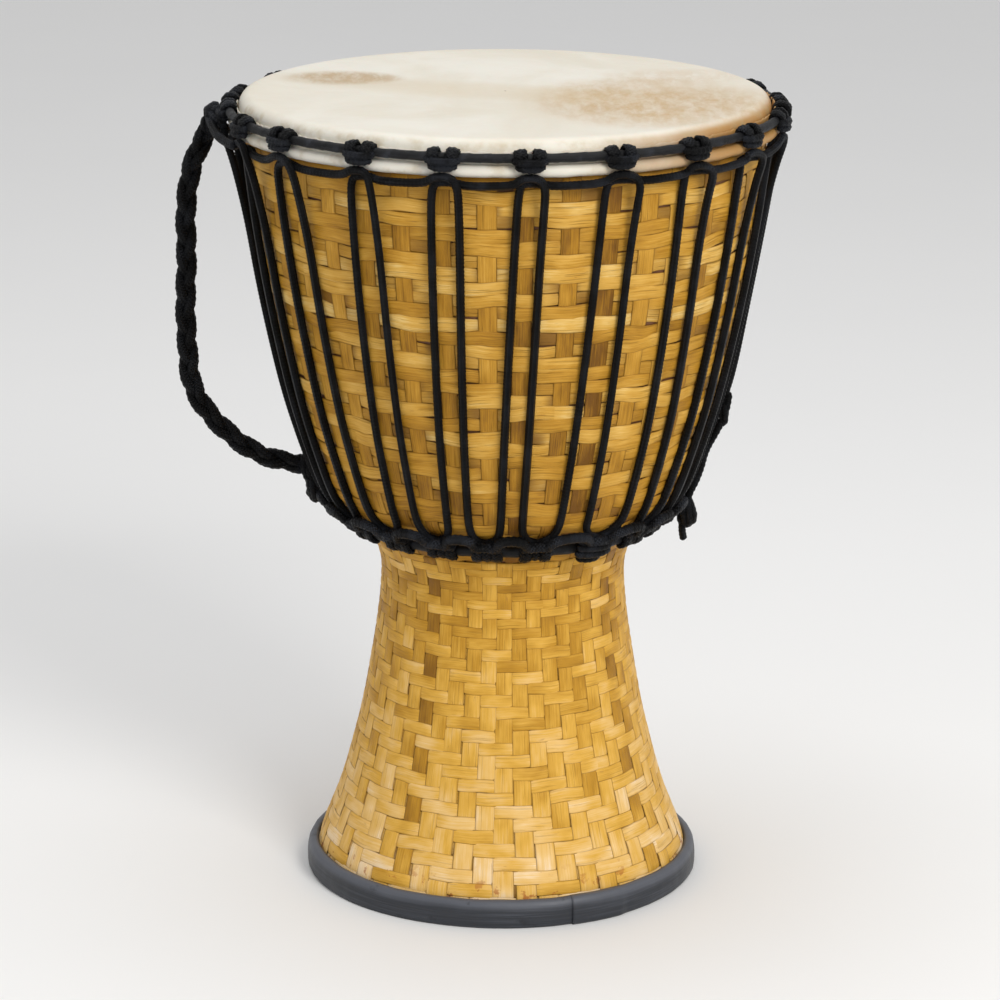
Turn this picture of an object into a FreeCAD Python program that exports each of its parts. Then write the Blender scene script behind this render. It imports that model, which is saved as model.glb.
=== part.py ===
import FreeCAD, Part
import math
import os

# A rope-tuned goblet drum (djembe) with a woven bamboo cover, in millimetres.
# The origin is on the drum's axis at the floor and +Z is up.  Angles run from the front (-Y)
# towards the drum's own right-hand side (+X).  Lengths are (radius, height) pairs in a profile.

# --- driving dimensions -----------------------------------------------------------------
HEIGHT = 508.0
WEAVE = 1.6            # thickness of the laminated bamboo cover
CORD = 4.8             # every cord on the drum is the same braided polyester
ROPE_GAP = 0.6         # what the taut cord stands off the weave between its high spots

COVER = [              # outer face of the woven cover, floor to flesh ring
    (121.5, 0.0), (118.3, 17.0), (113.4, 32.0), (106.6, 49.0), (98.4, 76.0), (90.2, 109.0),
    (84.2, 142.0), (79.4, 174.0), (77.6, 196.0), (78.0, 208.0), (82.0, 221.0), (87.5, 231.0),
    (94.5, 239.0), (102.5, 245.5), (110.5, 252.5), (117.2, 263.0), (125.6, 286.0), (134.0, 312.0),
    (142.0, 344.0), (148.4, 375.0), (154.3, 405.0), (160.2, 446.0), (162.6, 470.0), (163.6, 487.0),
]
BORE = [               # hollow of the shell, floor to rim
    (109.0, 1.0), (98.0, 40.0), (80.0, 90.0), (66.0, 150.0), (61.0, 200.0), (66.0, 232.0),
    (92.0, 258.0), (113.0, 300.0), (130.0, 355.0), (143.0, 420.0), (149.0, 480.0), (150.5, 501.0),
]
SHELL_FLOOR = 1.0      # the wood stops this far above the floor, inside the rubber
JOINT_HEIGHT = 226.0   # the foot's cover ends and the bowl's begins, under the lower ring
COVER_TOP = 486.0
SHELL_NECK = 164.7     # outer radius of the shell under the skin
RIM_ROUND = 6.7        # playing edge of the shell
RIM_TOP = 507.2
SKIN = 0.8             # goatskin

FLESH_WIRE = 2.8       # wire radius of the ring rolled into the skin's edge
FLESH_RING = (168.4, 489.8)
CROWN_WIRE = 2.0
CROWN_RING = (171.5, 498.2)
RING_WRAP = 0.85       # cloth wound on the crown ring and the lower ring
LOWER_WIRE = 2.0
LOWER_RING = (98.0, 238.0)
FLAP_TOP = 501.5       # trimmed edge of the skin, behind the crown ring

KNOTS = 20
PITCH = 360.0 / KNOTS
FIRST_KNOT = 5.2       # angle of the first crown knot, just right of the front
# Hand-tied knots wander by a degree or two.  The lists run rightwards round the drum from the first
# knot: the knot's drift, then the angles of the left and right cord under it, at the crown and waist.
KNOT_DRIFT = [-0.3, 0.0, -0.3, -0.7, 0.4, 0.0, -0.5, 0.6, 0.2, -0.8,
              0.3, 0.7, -0.4, 0.0, 0.5, -0.6, -0.4, -1.8, 1.2, 0.7]
LEFT_TOP = [-2.6, -2.6, -1.9, -1.4, -2.6, -3.0, -3.8, -2.7, -2.8, -4.0,
            -3.0, -2.4, -3.5, -3.0, -2.6, -3.7, -4.2, -6.2, -2.4, -2.3]
RIGHT_TOP = [2.7, 4.3, 4.6, 5.2, 3.8, 3.4, 2.6, 3.7, 3.6, 2.3,
             3.4, 4.0, 2.9, 3.4, 3.8, 2.7, 2.6, 1.9, 3.5, 3.7]
LEFT_LOW = [-5.8, -6.0, -2.0, -2.7, -3.6, -4.0, -3.3, -4.3, -3.1, -3.4,
            -4.2, -3.2, -3.5, -4.1, -3.0, -3.3, -3.4, -4.0, -3.4, -3.7]
RIGHT_LOW = [0.5, 2.8, 6.6, 5.6, 3.9, 3.2, 3.9, 2.9, 4.1, 3.8,
             3.0, 4.0, 3.7, 3.1, 4.2, 3.9, 3.8, 4.1, 4.1, 2.6]
DRIFT_LOW, DRIFT_TOP = 262.0, 472.0   # heights the two pairs of lists hold at

BAND_WIDTH = 6.6       # each turn of a knot is the cord pressed flat
BAND_OUTER = 6.4
CROWN_BAR = (3.4, 10.4, 4.0)   # half-sizes of a crown knot's front bar: out, along, up
WAIST_BAR = (3.2, 8.6, 3.4)
PRESSED_GAP = 0.05
STRAP = 12.0           # plaited carrying strap
CROWN_TIE = 86.6       # angle where the ring's wrap and the tuning cord are tied off
WAIST_TIE = 1          # the waist knot that the lower cord's ends are tied at

RUBBER = [(124.4, 0.0), (126.0, 2.4), (126.2, 8.0), (125.6, 13.5), (122.6, 17.6)]
RUBBER_SEAM = 21.0     # angle of the lap in the rubber strip
RUBBER_LAP = 1.1


def vec(x, y, z):
    return FreeCAD.Vector(x, y, z)


def at(angle, radius, height):
    """A point given by its angle from the front, its radius and its height."""
    turn = math.radians(angle)
    return vec(radius * math.sin(turn), -radius * math.cos(turn), height)


def spline(profile):
    """A smooth curve in the XZ plane through (radius, height) pairs."""
    curve = Part.BSplineCurve()
    curve.interpolate([vec(radius, 0, height) for radius, height in profile])
    return curve


def parameter_at(curve, height):
    """Parameter of a rising profile curve at a height."""
    low, high = curve.FirstParameter, curve.LastParameter
    for _ in range(60):
        middle = 0.5 * (low + high)
        if curve.value(middle).z < height:
            low = middle
        else:
            high = middle
    return 0.5 * (low + high)


COVER_CURVE = spline(COVER)
SHELL_CURVE = spline([(radius - WEAVE, height) for radius, height in COVER])


def cover_radius(height):
    return COVER_CURVE.value(parameter_at(COVER_CURVE, height)).x


def stretch(curve, low, high):
    """The edge of a profile curve between two heights."""
    return curve.toShape(parameter_at(curve, low), parameter_at(curve, high))


def line(start, end):
    return Part.LineSegment(start, end).toShape()


def ends(edge):
    return edge.valueAt(edge.FirstParameter), edge.valueAt(edge.LastParameter)


def spin(edges, degrees=360.0):
    """The solid that a closed outline in the XZ plane makes about the drum's axis."""
    face = Part.Face(Part.Wire(Part.__sortEdges__(edges)))
    return face.revolve(vec(0, 0, 0), vec(0, 0, 1), degrees)


def torus(centre, radius):
    return Part.makeTorus(centre[0], radius, vec(0, 0, centre[1]), vec(0, 0, 1))


def ellipsoid(centre, radii, angle=0.0):
    """A closed lump whose half-sizes run along the radius, the rim and the height."""
    ball = Part.makeSphere(1.0)
    scale = FreeCAD.Matrix()
    scale.scale(radii[0], radii[1], radii[2])
    lump = ball.transformGeometry(scale)
    lump.rotate(vec(0, 0, 0), vec(0, 0, 1), angle - 90.0)
    lump.translate(centre)
    return lump


# --- cords --------------------------------------------------------------------------------

def path(points, radii=None):
    """Straight runs joined by tangent arcs, each as large as its two runs allow."""
    edges = []
    start = points[0]
    for before, corner, after in zip(points, points[1:], points[2:]):
        into = (corner - before).normalize()
        out = (after - corner).normalize()
        half_turn = 0.5 * into.getAngle(out)
        setback = 0.45 * min((corner - before).Length, (after - corner).Length)
        if radii is not None:
            radii.append(setback / math.tan(half_turn))
        first = corner - into * setback
        last = corner + out * setback
        inward = (out - into).normalize()
        bulge = setback / math.tan(half_turn) * (1 / math.cos(half_turn) - 1)
        edges.append(line(start, first))
        edges.append(Part.Arc(first, corner + inward * bulge, last).toShape())
        start = last
    edges.append(line(start, points[-1]))
    return Part.Wire(edges)


def tube(points, diameter, radii=None):
    """A round cord along a route."""
    wire = path(points, radii)
    way = points[1] - points[0]
    circle = Part.Circle(points[0], way, diameter / 2).toShape()
    return wire.makePipeShell([Part.Wire([circle])], True, False)


def band(ring, offset_angle, radius_in):
    """One flat turn of cord round a ring, centred at an angle."""
    middle = at(offset_angle, ring[0], ring[1])
    along = at(offset_angle + 90, 1, 0)
    foot = middle - along * (BAND_WIDTH / 2)
    outer = Part.makeCylinder(BAND_OUTER, BAND_WIDTH, foot, along)
    inner = Part.makeCylinder(radius_in, BAND_WIDTH + 2, foot - along, along)
    return outer.cut(inner)


def turned(piece, angle):
    """A copy of a piece built at the front, carried round the drum's axis."""
    copy = piece.copy()
    copy.rotate(vec(0, 0, 0), vec(0, 0, 1), angle)
    return copy


def knot_angle(index):
    return FIRST_KNOT + PITCH * index + KNOT_DRIFT[index % KNOTS]


def cord_angle(index, side, height):
    """Angle of the left (-1) or right (+1) cord of a pair at a height."""
    at_top = (LEFT_TOP if side < 0 else RIGHT_TOP)[index % KNOTS]
    at_low = (LEFT_LOW if side < 0 else RIGHT_LOW)[index % KNOTS]
    share = (height - DRIFT_LOW) / (DRIFT_TOP - DRIFT_LOW)
    return FIRST_KNOT + PITCH * index + at_low + (at_top - at_low) * share


def waist_angle(index):
    """Angle of the waist knot between one pair and the next."""
    return 0.5 * (cord_angle(index, 1, 250.0) + cord_angle(index + 1, -1, 250.0))


RUN_HEIGHTS = [264.0, 290.0, 320.0, 354.0, 392.0, 432.0]


def run_points(index, side):
    """One cord from the waist up to the crown, lying on the bowl."""
    points = []
    for height in RUN_HEIGHTS:
        radius = cover_radius(height) + CORD / 2 + ROPE_GAP
        points.append(at(cord_angle(index, side, height), radius, height))
    return points


def rope_span(index):
    """The tuning cord from a waist turn, up one pair, along the crown and down the next pair."""
    nxt = index + 1
    left = cord_angle(index, -1, 472.0)
    right = cord_angle(nxt, 1, 472.0)
    knot = knot_angle(index)
    far_knot = knot_angle(nxt)
    points = [
        at(waist_angle(index - 1), 108.8, 246.2),
        at(waist_angle(index - 1) + 3.2, 109.9, 247.3),
        at(cord_angle(index, -1, 255.0) - 0.3, 114.8, 254.2),
    ]
    points += run_points(index, -1)
    points += [
        at(left, 166.3, 468.5),
        at(left + 0.4, 167.4, 479.0),
        at(knot - 1.5, 169.0, 482.9),
        at(knot + 1.9, 169.3, 482.9),
        at(cord_angle(index, 1, 472.0) + 1.2, 171.2, 481.4),
        at(0.5 * (knot + far_knot), 172.5, 481.7),
        at(cord_angle(nxt, -1, 472.0) - 0.6, 172.7, 482.3),
        at(far_knot - 1.7, 174.6, 486.9),
        at(far_knot + 1.6, 174.9, 487.1),
        at(right, 174.6, 481.6),
        at(right, 169.4, 466.5),
    ]
    points += reversed(run_points(nxt, 1))
    points += [
        at(cord_angle(nxt, 1, 255.0) + 0.3, 114.8, 254.2),
        at(waist_angle(nxt) - 3.2, 109.9, 247.3),
        at(waist_angle(nxt), 108.8, 246.2),
    ]
    return points


def waist_span(index):
    """The lower cord from one waist knot up over a pair and down to the next."""
    here = waist_angle(index - 1)
    there = waist_angle(index)
    left = cord_angle(index, -1, 252.0)
    right = cord_angle(index, 1, 252.0)
    return [
        at(here + 1.4, 106.6, 241.0),
        at(here + 3.2, 111.0, 242.4),
        at(left - 0.2, 116.4, 248.6),
        at(right + 0.2, 116.4, 248.8),
        at(there - 3.2, 111.0, 242.4),
        at(there - 1.4, 106.6, 241.0),
    ]


# Routes of the two cords that hang free, listed point by point.
STRAP_ROUTE = [
    (-181.5, 487.5), (-190.0, 474.5), (-197.0, 456.0), (-200.4, 431.0), (-199.6, 401.0),
    (-201.4, 370.0), (-200.2, 341.0), (-198.6, 319.5), (-190.5, 303.5), (-178.0, 289.5),
    (-163.0, 277.0), (-147.5, 269.8), (-132.4, 267.5),
]
TAIL_ROUTE = [
    (86.4, 142.9, 318.0), (86.5, 141.8, 306.0), (86.3, 135.9, 293.0), (86.0, 128.6, 280.0),
    (86.1, 126.1, 268.5), (86.3, 122.6, 258.5), (86.2, 118.4, 250.5), (86.2, 118.0, 246.0),
]
STUB_ROUTE = [(86.2, 114.6, 231.0), (86.2, 114.4, 226.0), (86.6, 115.6, 221.0)]


# --- the pieces ---------------------------------------------------------------------------

def shell():
    """Turned hardwood goblet, open right through."""
    outside = stretch(SHELL_CURVE, SHELL_FLOOR, COVER_TOP)
    foot, shoulder = ends(outside)
    inside = spline(BORE).toShape()
    bottom, top = ends(inside)
    neck = vec(SHELL_NECK, 0, COVER_TOP)
    round_foot = vec(SHELL_NECK, 0, RIM_TOP - RIM_ROUND)
    round_top = vec(SHELL_NECK - RIM_ROUND, 0, RIM_TOP)
    slant = RIM_ROUND * math.sqrt(0.5)
    round_middle = vec(SHELL_NECK - RIM_ROUND + slant, 0, RIM_TOP - RIM_ROUND + slant)
    edges = [
        outside, line(shoulder, neck), line(neck, round_foot),
        Part.Arc(round_foot, round_middle, round_top).toShape(),
        line(round_top, top), inside, line(bottom, foot),
    ]
    return spin(edges)


def cover(low, high):
    """A stretch of the woven cover, laminated to the shell."""
    outside = stretch(COVER_CURVE, low, high)
    inside = stretch(SHELL_CURVE, low, high)
    outer_low, outer_high = ends(outside)
    inner_low, inner_high = ends(inside)
    return spin([outside, line(outer_high, inner_high), inside, line(inner_low, outer_low)])


def foot_rubber():
    """Rubber strip round the foot, its end lapped over its start."""
    inner = stretch(COVER_CURVE, 2.0, 16.8)
    inner_low, inner_high = ends(inner)
    step = vec(inner_low.x, 0, 0)
    points = [vec(radius, 0, height) for radius, height in RUBBER]
    edges = [inner, line(inner_low, step), line(step, points[0])]
    edges += [line(start, end) for start, end in zip(points, points[1:])]
    edges.append(line(points[-1], inner_high))
    strip = spin(edges)
    lap_points = [(125.0, 0.0), (125.0 + RUBBER_LAP + 0.6, 2.6), (126.2 + RUBBER_LAP, 8.0)]
    lap_points += [(125.6 + RUBBER_LAP, 13.5), (122.9, 17.9), (121.6, 12.0), (121.8, 3.0), (122.4, 0.0)]
    corners = [vec(radius, 0, height) for radius, height in lap_points]
    lap_edges = [line(start, end) for start, end in zip(corners, corners[1:] + corners[:1])]
    lap = spin(lap_edges, 16.0)
    lap.rotate(vec(0, 0, 0), vec(0, 0, 1), RUBBER_SEAM - 90.0)
    return strip.fuse(lap)


def foot_cover():
    return cover(2.0, JOINT_HEIGHT)


def bowl_cover():
    return cover(JOINT_HEIGHT, COVER_TOP)


def skin_wrap():
    """The skin's edge where it is rolled round the flesh ring."""
    outer = torus(FLESH_RING, FLESH_WIRE + SKIN)
    return outer.cut(torus(FLESH_RING, FLESH_WIRE))


def drum_skin():
    """Goatskin head, its collar down the rim, the roll round the flesh ring and the trimmed flap."""
    outer_round = RIM_ROUND + SKIN
    centre = (SHELL_NECK - RIM_ROUND, RIM_TOP - RIM_ROUND)
    slant = math.sqrt(0.5)
    top = vec(0, 0, HEIGHT)
    edge_top = vec(centre[0], 0, HEIGHT)
    edge_middle = vec(centre[0] + outer_round * slant, 0, centre[1] + outer_round * slant)
    edge_side = vec(centre[0] + outer_round, 0, centre[1])
    hem_out = vec(centre[0] + outer_round, 0, FLESH_RING[1])
    hem_in = vec(SHELL_NECK + 0.05, 0, FLESH_RING[1])
    under_side = vec(SHELL_NECK, 0, centre[1])
    under_middle = vec(centre[0] + RIM_ROUND * slant, 0, centre[1] + RIM_ROUND * slant)
    under_top = vec(centre[0], 0, RIM_TOP)
    under = vec(0, 0, RIM_TOP)
    head = spin([
        line(top, edge_top), Part.Arc(edge_top, edge_middle, edge_side).toShape(),
        line(edge_side, hem_out), line(hem_out, hem_in), line(hem_in, under_side),
        Part.Arc(under_side, under_middle, under_top).toShape(), line(under_top, under),
        line(under, top),
    ])
    inner = centre[0] + outer_round - 0.1
    outer = centre[0] + outer_round + SKIN
    foot = FLESH_RING[1] + FLESH_WIRE - 0.2
    corners = [vec(inner, 0, foot), vec(outer, 0, foot), vec(outer, 0, FLAP_TOP), vec(inner, 0, FLAP_TOP)]
    flap = spin([line(start, end) for start, end in zip(corners, corners[1:] + corners[:1])])
    wire_room = torus(FLESH_RING, FLESH_WIRE)
    return head.fuse([skin_wrap(), flap]).cut(wire_room)


def wrapped_ring(ring, wire):
    return torus(ring, wire + RING_WRAP).cut(torus(ring, wire))


def pressed_on_skin(piece):
    """Flattens a piece of cord against the skin's collar and its rolled edge."""
    collar = Part.makeCylinder(SHELL_NECK + 2 * SKIN + PRESSED_GAP, 40.0, vec(0, 0, FLAP_TOP - 39.9))
    return piece.cut(collar).cut(torus(FLESH_RING, FLESH_WIRE + SKIN + PRESSED_GAP))


def pressed_on_cover(piece):
    """Flattens a piece of cord against the woven cover at the waist."""
    outside = stretch(COVER_CURVE, 205.0, 275.0)
    low, high = ends(outside)
    axis_low = vec(0, 0, low.z)
    axis_high = vec(0, 0, high.z)
    return piece.cut(spin([outside, line(high, axis_high), line(axis_high, axis_low), line(axis_low, low)]))


def crown_loop():
    """A loop of cord hitched over the crown ring: two flat turns and the bar in front."""
    inner = CROWN_WIRE + RING_WRAP + PRESSED_GAP
    turns = [pressed_on_skin(band(CROWN_RING, side * 2.15, inner)) for side in (-1, 1)]
    front = ellipsoid(at(0, CROWN_RING[0] + 6.2, CROWN_RING[1] - 3.6), CROWN_BAR)
    front = pressed_on_skin(front).cut(torus(CROWN_RING, inner))
    return turns[0].fuse([turns[1], front])


def waist_knot():
    """A hitch of the lower cord on the lower ring."""
    inner = LOWER_WIRE + RING_WRAP + PRESSED_GAP
    turns = [pressed_on_cover(band(LOWER_RING, side * 3.5, inner)) for side in (-1, 1)]
    front = ellipsoid(at(0, LOWER_RING[0] + 7.4, LOWER_RING[1] + 4.8), WAIST_BAR)
    front = pressed_on_cover(front).cut(torus(LOWER_RING, inner))
    return turns[0].fuse([turns[1], front])


def main():
    os.makedirs("parts", exist_ok=True)
    pieces = {}
    pieces["shell"] = shell()
    pieces["foot_cover"] = foot_cover()
    pieces["bowl_cover"] = bowl_cover()
    pieces["foot_rubber"] = foot_rubber()
    pieces["drum_skin"] = drum_skin()
    pieces["flesh_ring"] = torus(FLESH_RING, FLESH_WIRE)
    pieces["crown_ring"] = torus(CROWN_RING, CROWN_WIRE)
    pieces["crown_ring_wrap"] = wrapped_ring(CROWN_RING, CROWN_WIRE)
    pieces["lower_ring"] = torus(LOWER_RING, LOWER_WIRE)
    pieces["lower_ring_wrap"] = wrapped_ring(LOWER_RING, LOWER_WIRE)

    loop = crown_loop()
    knot = waist_knot()
    for index in range(KNOTS):
        pieces["crown_loop_%02d" % (index + 1)] = turned(loop, knot_angle(index))
    pieces["waist_knots"] = Part.makeCompound([turned(knot, waist_angle(index)) for index in range(KNOTS)])
    pieces["waist_cord"] = Part.makeCompound([tube(waist_span(index), CORD) for index in range(KNOTS)])
    radii = []
    spans = [tube(rope_span(index), CORD, radii) for index in range(KNOTS)]
    pieces["tuning_cord"] = Part.makeCompound(spans)

    strap_points = [vec(x, 0, z) for x, z in STRAP_ROUTE]
    strap_radii = []
    pieces["handle_strap"] = tube(strap_points, STRAP, strap_radii)
    print("strap length", round(path(strap_points).Length, 1))
    print("strap radii", [round(radius) for radius in strap_radii])
    lashing = pressed_on_skin(band(CROWN_RING, 0.0, CROWN_WIRE + RING_WRAP + PRESSED_GAP))
    pieces["handle_top_lashing"] = turned(lashing, -93.5)
    pieces["handle_top_knob"] = ellipsoid(vec(-182.6, -2.0, 499.0), (5.2, 6.0, 5.8))
    pieces["handle_low_lashing"] = ellipsoid(vec(-125.6, -2.5, 259.0), (4.8, 6.2, 8.5))

    pieces["crown_tie"] = turned(lashing, CROWN_TIE)
    tie = ellipsoid(at(0, 108.4, 236.4), (4.0, 12.0, 5.6)).cut(knot)
    pieces["waist_tie"] = turned(tie, waist_angle(WAIST_TIE))

    tail_points = [at(*point) for point in TAIL_ROUTE]
    tail_radii = []
    pieces["surplus_cord"] = tube(tail_points, CORD, tail_radii)
    print("surplus length", round(path(tail_points).Length, 1))
    print("surplus radii", [round(radius) for radius in tail_radii])
    pieces["surplus_knot"] = ellipsoid(at(86.2, 118.0, 239.5), (5.0, 5.8, 9.0), 86.2)
    pieces["surplus_end"] = tube([at(*point) for point in STUB_ROUTE], CORD)

    for name, solid in pieces.items():
        solid.exportStep("parts/%s.step" % name)
        print(name, len(solid.Solids), "volume", round(solid.Volume), "valid", solid.isValid())


main()
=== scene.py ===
import math

import bpy
import numpy as np
from mathutils import Matrix, Vector


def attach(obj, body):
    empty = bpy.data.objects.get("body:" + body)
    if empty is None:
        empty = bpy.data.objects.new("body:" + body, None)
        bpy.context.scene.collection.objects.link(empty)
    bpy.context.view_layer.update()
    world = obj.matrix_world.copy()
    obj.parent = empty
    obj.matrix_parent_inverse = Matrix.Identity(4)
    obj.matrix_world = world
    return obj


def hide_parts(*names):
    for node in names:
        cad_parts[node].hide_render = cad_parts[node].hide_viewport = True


# A rope-tuned goblet drum: its woven bamboo, cords, goatskin and rubber.  Shapes are in millimetres
# until a mesh is made.  Angles run from the front (-Y) towards +X, as in the CAD.

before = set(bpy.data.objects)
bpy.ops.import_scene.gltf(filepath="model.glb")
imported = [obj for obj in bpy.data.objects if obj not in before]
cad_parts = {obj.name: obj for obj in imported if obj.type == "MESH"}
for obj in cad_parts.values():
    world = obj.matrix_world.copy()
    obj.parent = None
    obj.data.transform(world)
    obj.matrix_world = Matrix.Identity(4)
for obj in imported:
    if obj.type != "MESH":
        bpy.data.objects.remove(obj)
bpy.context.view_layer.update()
MM = 0.001
rng = np.random.RandomState(20)


# --- camera, light and floor ---

CAMERA_PLACE = (0.0, -2.54, 0.9543)
CAMERA_TURN = (15.631, 0.288, -0.044)  # pitch below the horizon, roll and yaw, in degrees
CAMERA_LENS = 148.517  # mm
CAMERA_FRAME = 36.0  # mm, square
CAMERA_CLIP = (0.05, 50.0)

WORLD_STRENGTH = 0.62
KEY_WHITE = (1, 0.985, 0.95)
FLOOR_HALF = 24.0  # m


def added(name, data):
    thing = bpy.data.objects.new(name, data)
    bpy.context.scene.collection.objects.link(thing)
    return thing


def make_camera():
    pitch, roll, yaw = (math.radians(a) for a in CAMERA_TURN)
    ahead = Vector((math.sin(yaw) * math.cos(pitch), math.cos(yaw) * math.cos(pitch), -math.sin(pitch)))
    level = Vector((math.cos(yaw), -math.sin(yaw), 0.0))
    upright = level.cross(ahead)
    right = math.cos(roll) * level + math.sin(roll) * upright
    up = -math.sin(roll) * level + math.cos(roll) * upright
    data = bpy.data.cameras.new("camera")
    data.lens = CAMERA_LENS
    data.sensor_width = CAMERA_FRAME
    data.clip_start, data.clip_end = CAMERA_CLIP
    camera = added("camera", data)
    turn = Matrix((right, up, -ahead)).transposed().to_4x4()
    camera.matrix_world = Matrix.Translation(CAMERA_PLACE) @ turn
    bpy.context.scene.camera = camera


def area_light(name, place, target, size, power, colour=(1.0, 1.0, 1.0)):
    """A square lamp: size in metres, power in watts."""
    data = bpy.data.lights.new(name, "AREA")
    data.shape = "SQUARE"
    data.size = size
    data.energy = power
    data.color = colour
    lamp = added(name, data)
    lamp.location = place
    lamp.rotation_mode = "QUATERNION"
    lamp.rotation_quaternion = (Vector(target) - Vector(place)).to_track_quat("-Z", "Y")


def make_studio():
    bpy.context.scene.view_settings.view_transform = "Standard"
    world = bpy.data.worlds.new("studio")
    bpy.context.scene.world = world
    world.use_nodes = True
    back = world.node_tree.nodes["Background"]
    back.inputs["Color"].default_value = (1.0, 1.0, 1.0, 1.0)
    back.inputs["Strength"].default_value = WORLD_STRENGTH
    area_light("key", (1.3, -2.2, 2.0), (0.0, 0.0, 0.2), 1.1, 50.0, KEY_WHITE)
    area_light("fill", (-2.2, -1.8, 1.2), (0.0, 0.0, 0.25), 1.6, 0.5)
    area_light("top", (-0.2, 0.2, 2.4), (0.0, 0.0, 0.4), 1.4, 13.0)


# --- node materials ---

class Nodes:
    """A short way to write a node tree: each call makes a node, links its inputs and returns it."""

    def __init__(self, name):
        self.material = bpy.data.materials.new(name)
        self.material.use_nodes = True
        self.tree = self.material.node_tree
        self.shader = self.tree.nodes["Principled BSDF"]

    def feed(self, socket, value):
        if isinstance(value, bpy.types.NodeSocket):
            self.tree.links.new(value, socket)
        else:
            socket.default_value = value

    def node(self, kind, inputs=(), **settings):
        """A new node's outputs; its inputs are fed in order or by name."""
        node = self.tree.nodes.new("ShaderNode" + kind)
        for name, value in settings.items():
            setattr(node, name, value)
        for key, value in (inputs.items() if isinstance(inputs, dict) else enumerate(inputs)):
            self.feed(node.inputs[key], value)
        return node.outputs

    def attribute(self, name):
        return self.node("Attribute", attribute_name=name)["Vector"]

    def place(self):
        return self.node("TexCoord")["Object"]

    def split(self, vector):
        return self.node("SeparateXYZ", [vector])

    def math(self, operation, *values):
        return self.node("Math", values, operation=operation)[0]

    def add(self, first, second):
        return self.math("ADD", first, second)

    def sub(self, first, second):
        return self.math("SUBTRACT", first, second)

    def mul(self, first, second):
        return self.math("MULTIPLY", first, second)

    def sway(self, noise, amount):
        """A noise about its middle, scaled."""
        return self.mul(self.sub(noise, 0.5), amount)

    def noise(self, vector, scale, detail=3.0, rough=0.55, distortion=0.0):
        """Noise at one scale, or stretched by three."""
        if isinstance(scale, tuple):
            vector = self.node("VectorMath", [vector, scale], operation="MULTIPLY")[0]
            scale = 1.0
        return self.node("TexNoise", {"Vector": vector, "Scale": scale, "Detail": detail,
                                      "Roughness": rough, "Distortion": distortion})["Fac"]

    def spread(self, value, low, high, to_low=0.0, to_high=1.0):
        return self.node("MapRange", (value, low, high, to_low, to_high), interpolation_type="SMOOTHSTEP")[0]

    def ramp(self, value, stops):
        node = self.tree.nodes.new("ShaderNodeValToRGB")
        self.feed(node.inputs[0], value)
        marks = node.color_ramp.elements
        while len(marks) < len(stops):
            marks.new(0.5)
        for mark, (position, colour) in zip(marks, stops):
            mark.position = position
            mark.color = (*colour, 1.0)
        return node.outputs[0]

    def mix(self, share, first, second):
        first, second = ((*c, 1.0) if isinstance(c, tuple) else c for c in (first, second))
        return self.node("Mix", {0: share, 6: first, 7: second}, data_type="RGBA")[2]

    def stain(self, colour, share, most, over):
        """A colour with another over it, by a share of the most it may cover."""
        return self.mix(self.mul(share, most), colour, over)

    def bump(self, height, distance, strength):
        """Fine relief: distance in metres."""
        node = self.node("Bump", {"Strength": strength, "Distance": distance, "Height": height})
        self.feed(self.shader.inputs["Normal"], node[0])

    def finish(self, colour, roughness, specular, **others):
        """A roughness of three parts is a noise and the values at its lows and highs."""
        if isinstance(roughness, tuple):
            roughness = self.spread(roughness[0], 0.3, 0.7, *roughness[1:])
        self.feed(self.shader.inputs["Base Color"], colour)
        self.feed(self.shader.inputs["Roughness"], roughness)
        self.shader.inputs["Specular IOR Level"].default_value = specular
        for name, value in others.items():
            self.shader.inputs[name.replace("_", " ")].default_value = value
        return self.material


BAMBOO_SPLIT = (0.24, 0.115, 0.012)
BAMBOO_RUST = (0.25, 0.1, 0.035)
BAMBOO_CHIP = (0.4, 0.115, 0.022)
BAMBOO_EDGE_DIRT_AND_SHADE = (0.19, 0.085, 0.012)
BOWL_TONES = [
    (0, (0.17, 0.07, 0.006)), (0.35, (0.41, 0.195, 0.014)), (0.6, (0.56, 0.29, 0.034)),
    (0.85, (0.7, 0.41, 0.085)), (1, (0.8, 0.55, 0.19)),
]
FOOT_TONES = [
    (0, (0.24, 0.105, 0.006)), (0.35, (0.5, 0.25, 0.02)), (0.6, (0.71, 0.4, 0.06)),
    (0.85, (0.82, 0.54, 0.21)), (1, (0.88, 0.67, 0.42)),
]


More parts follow.
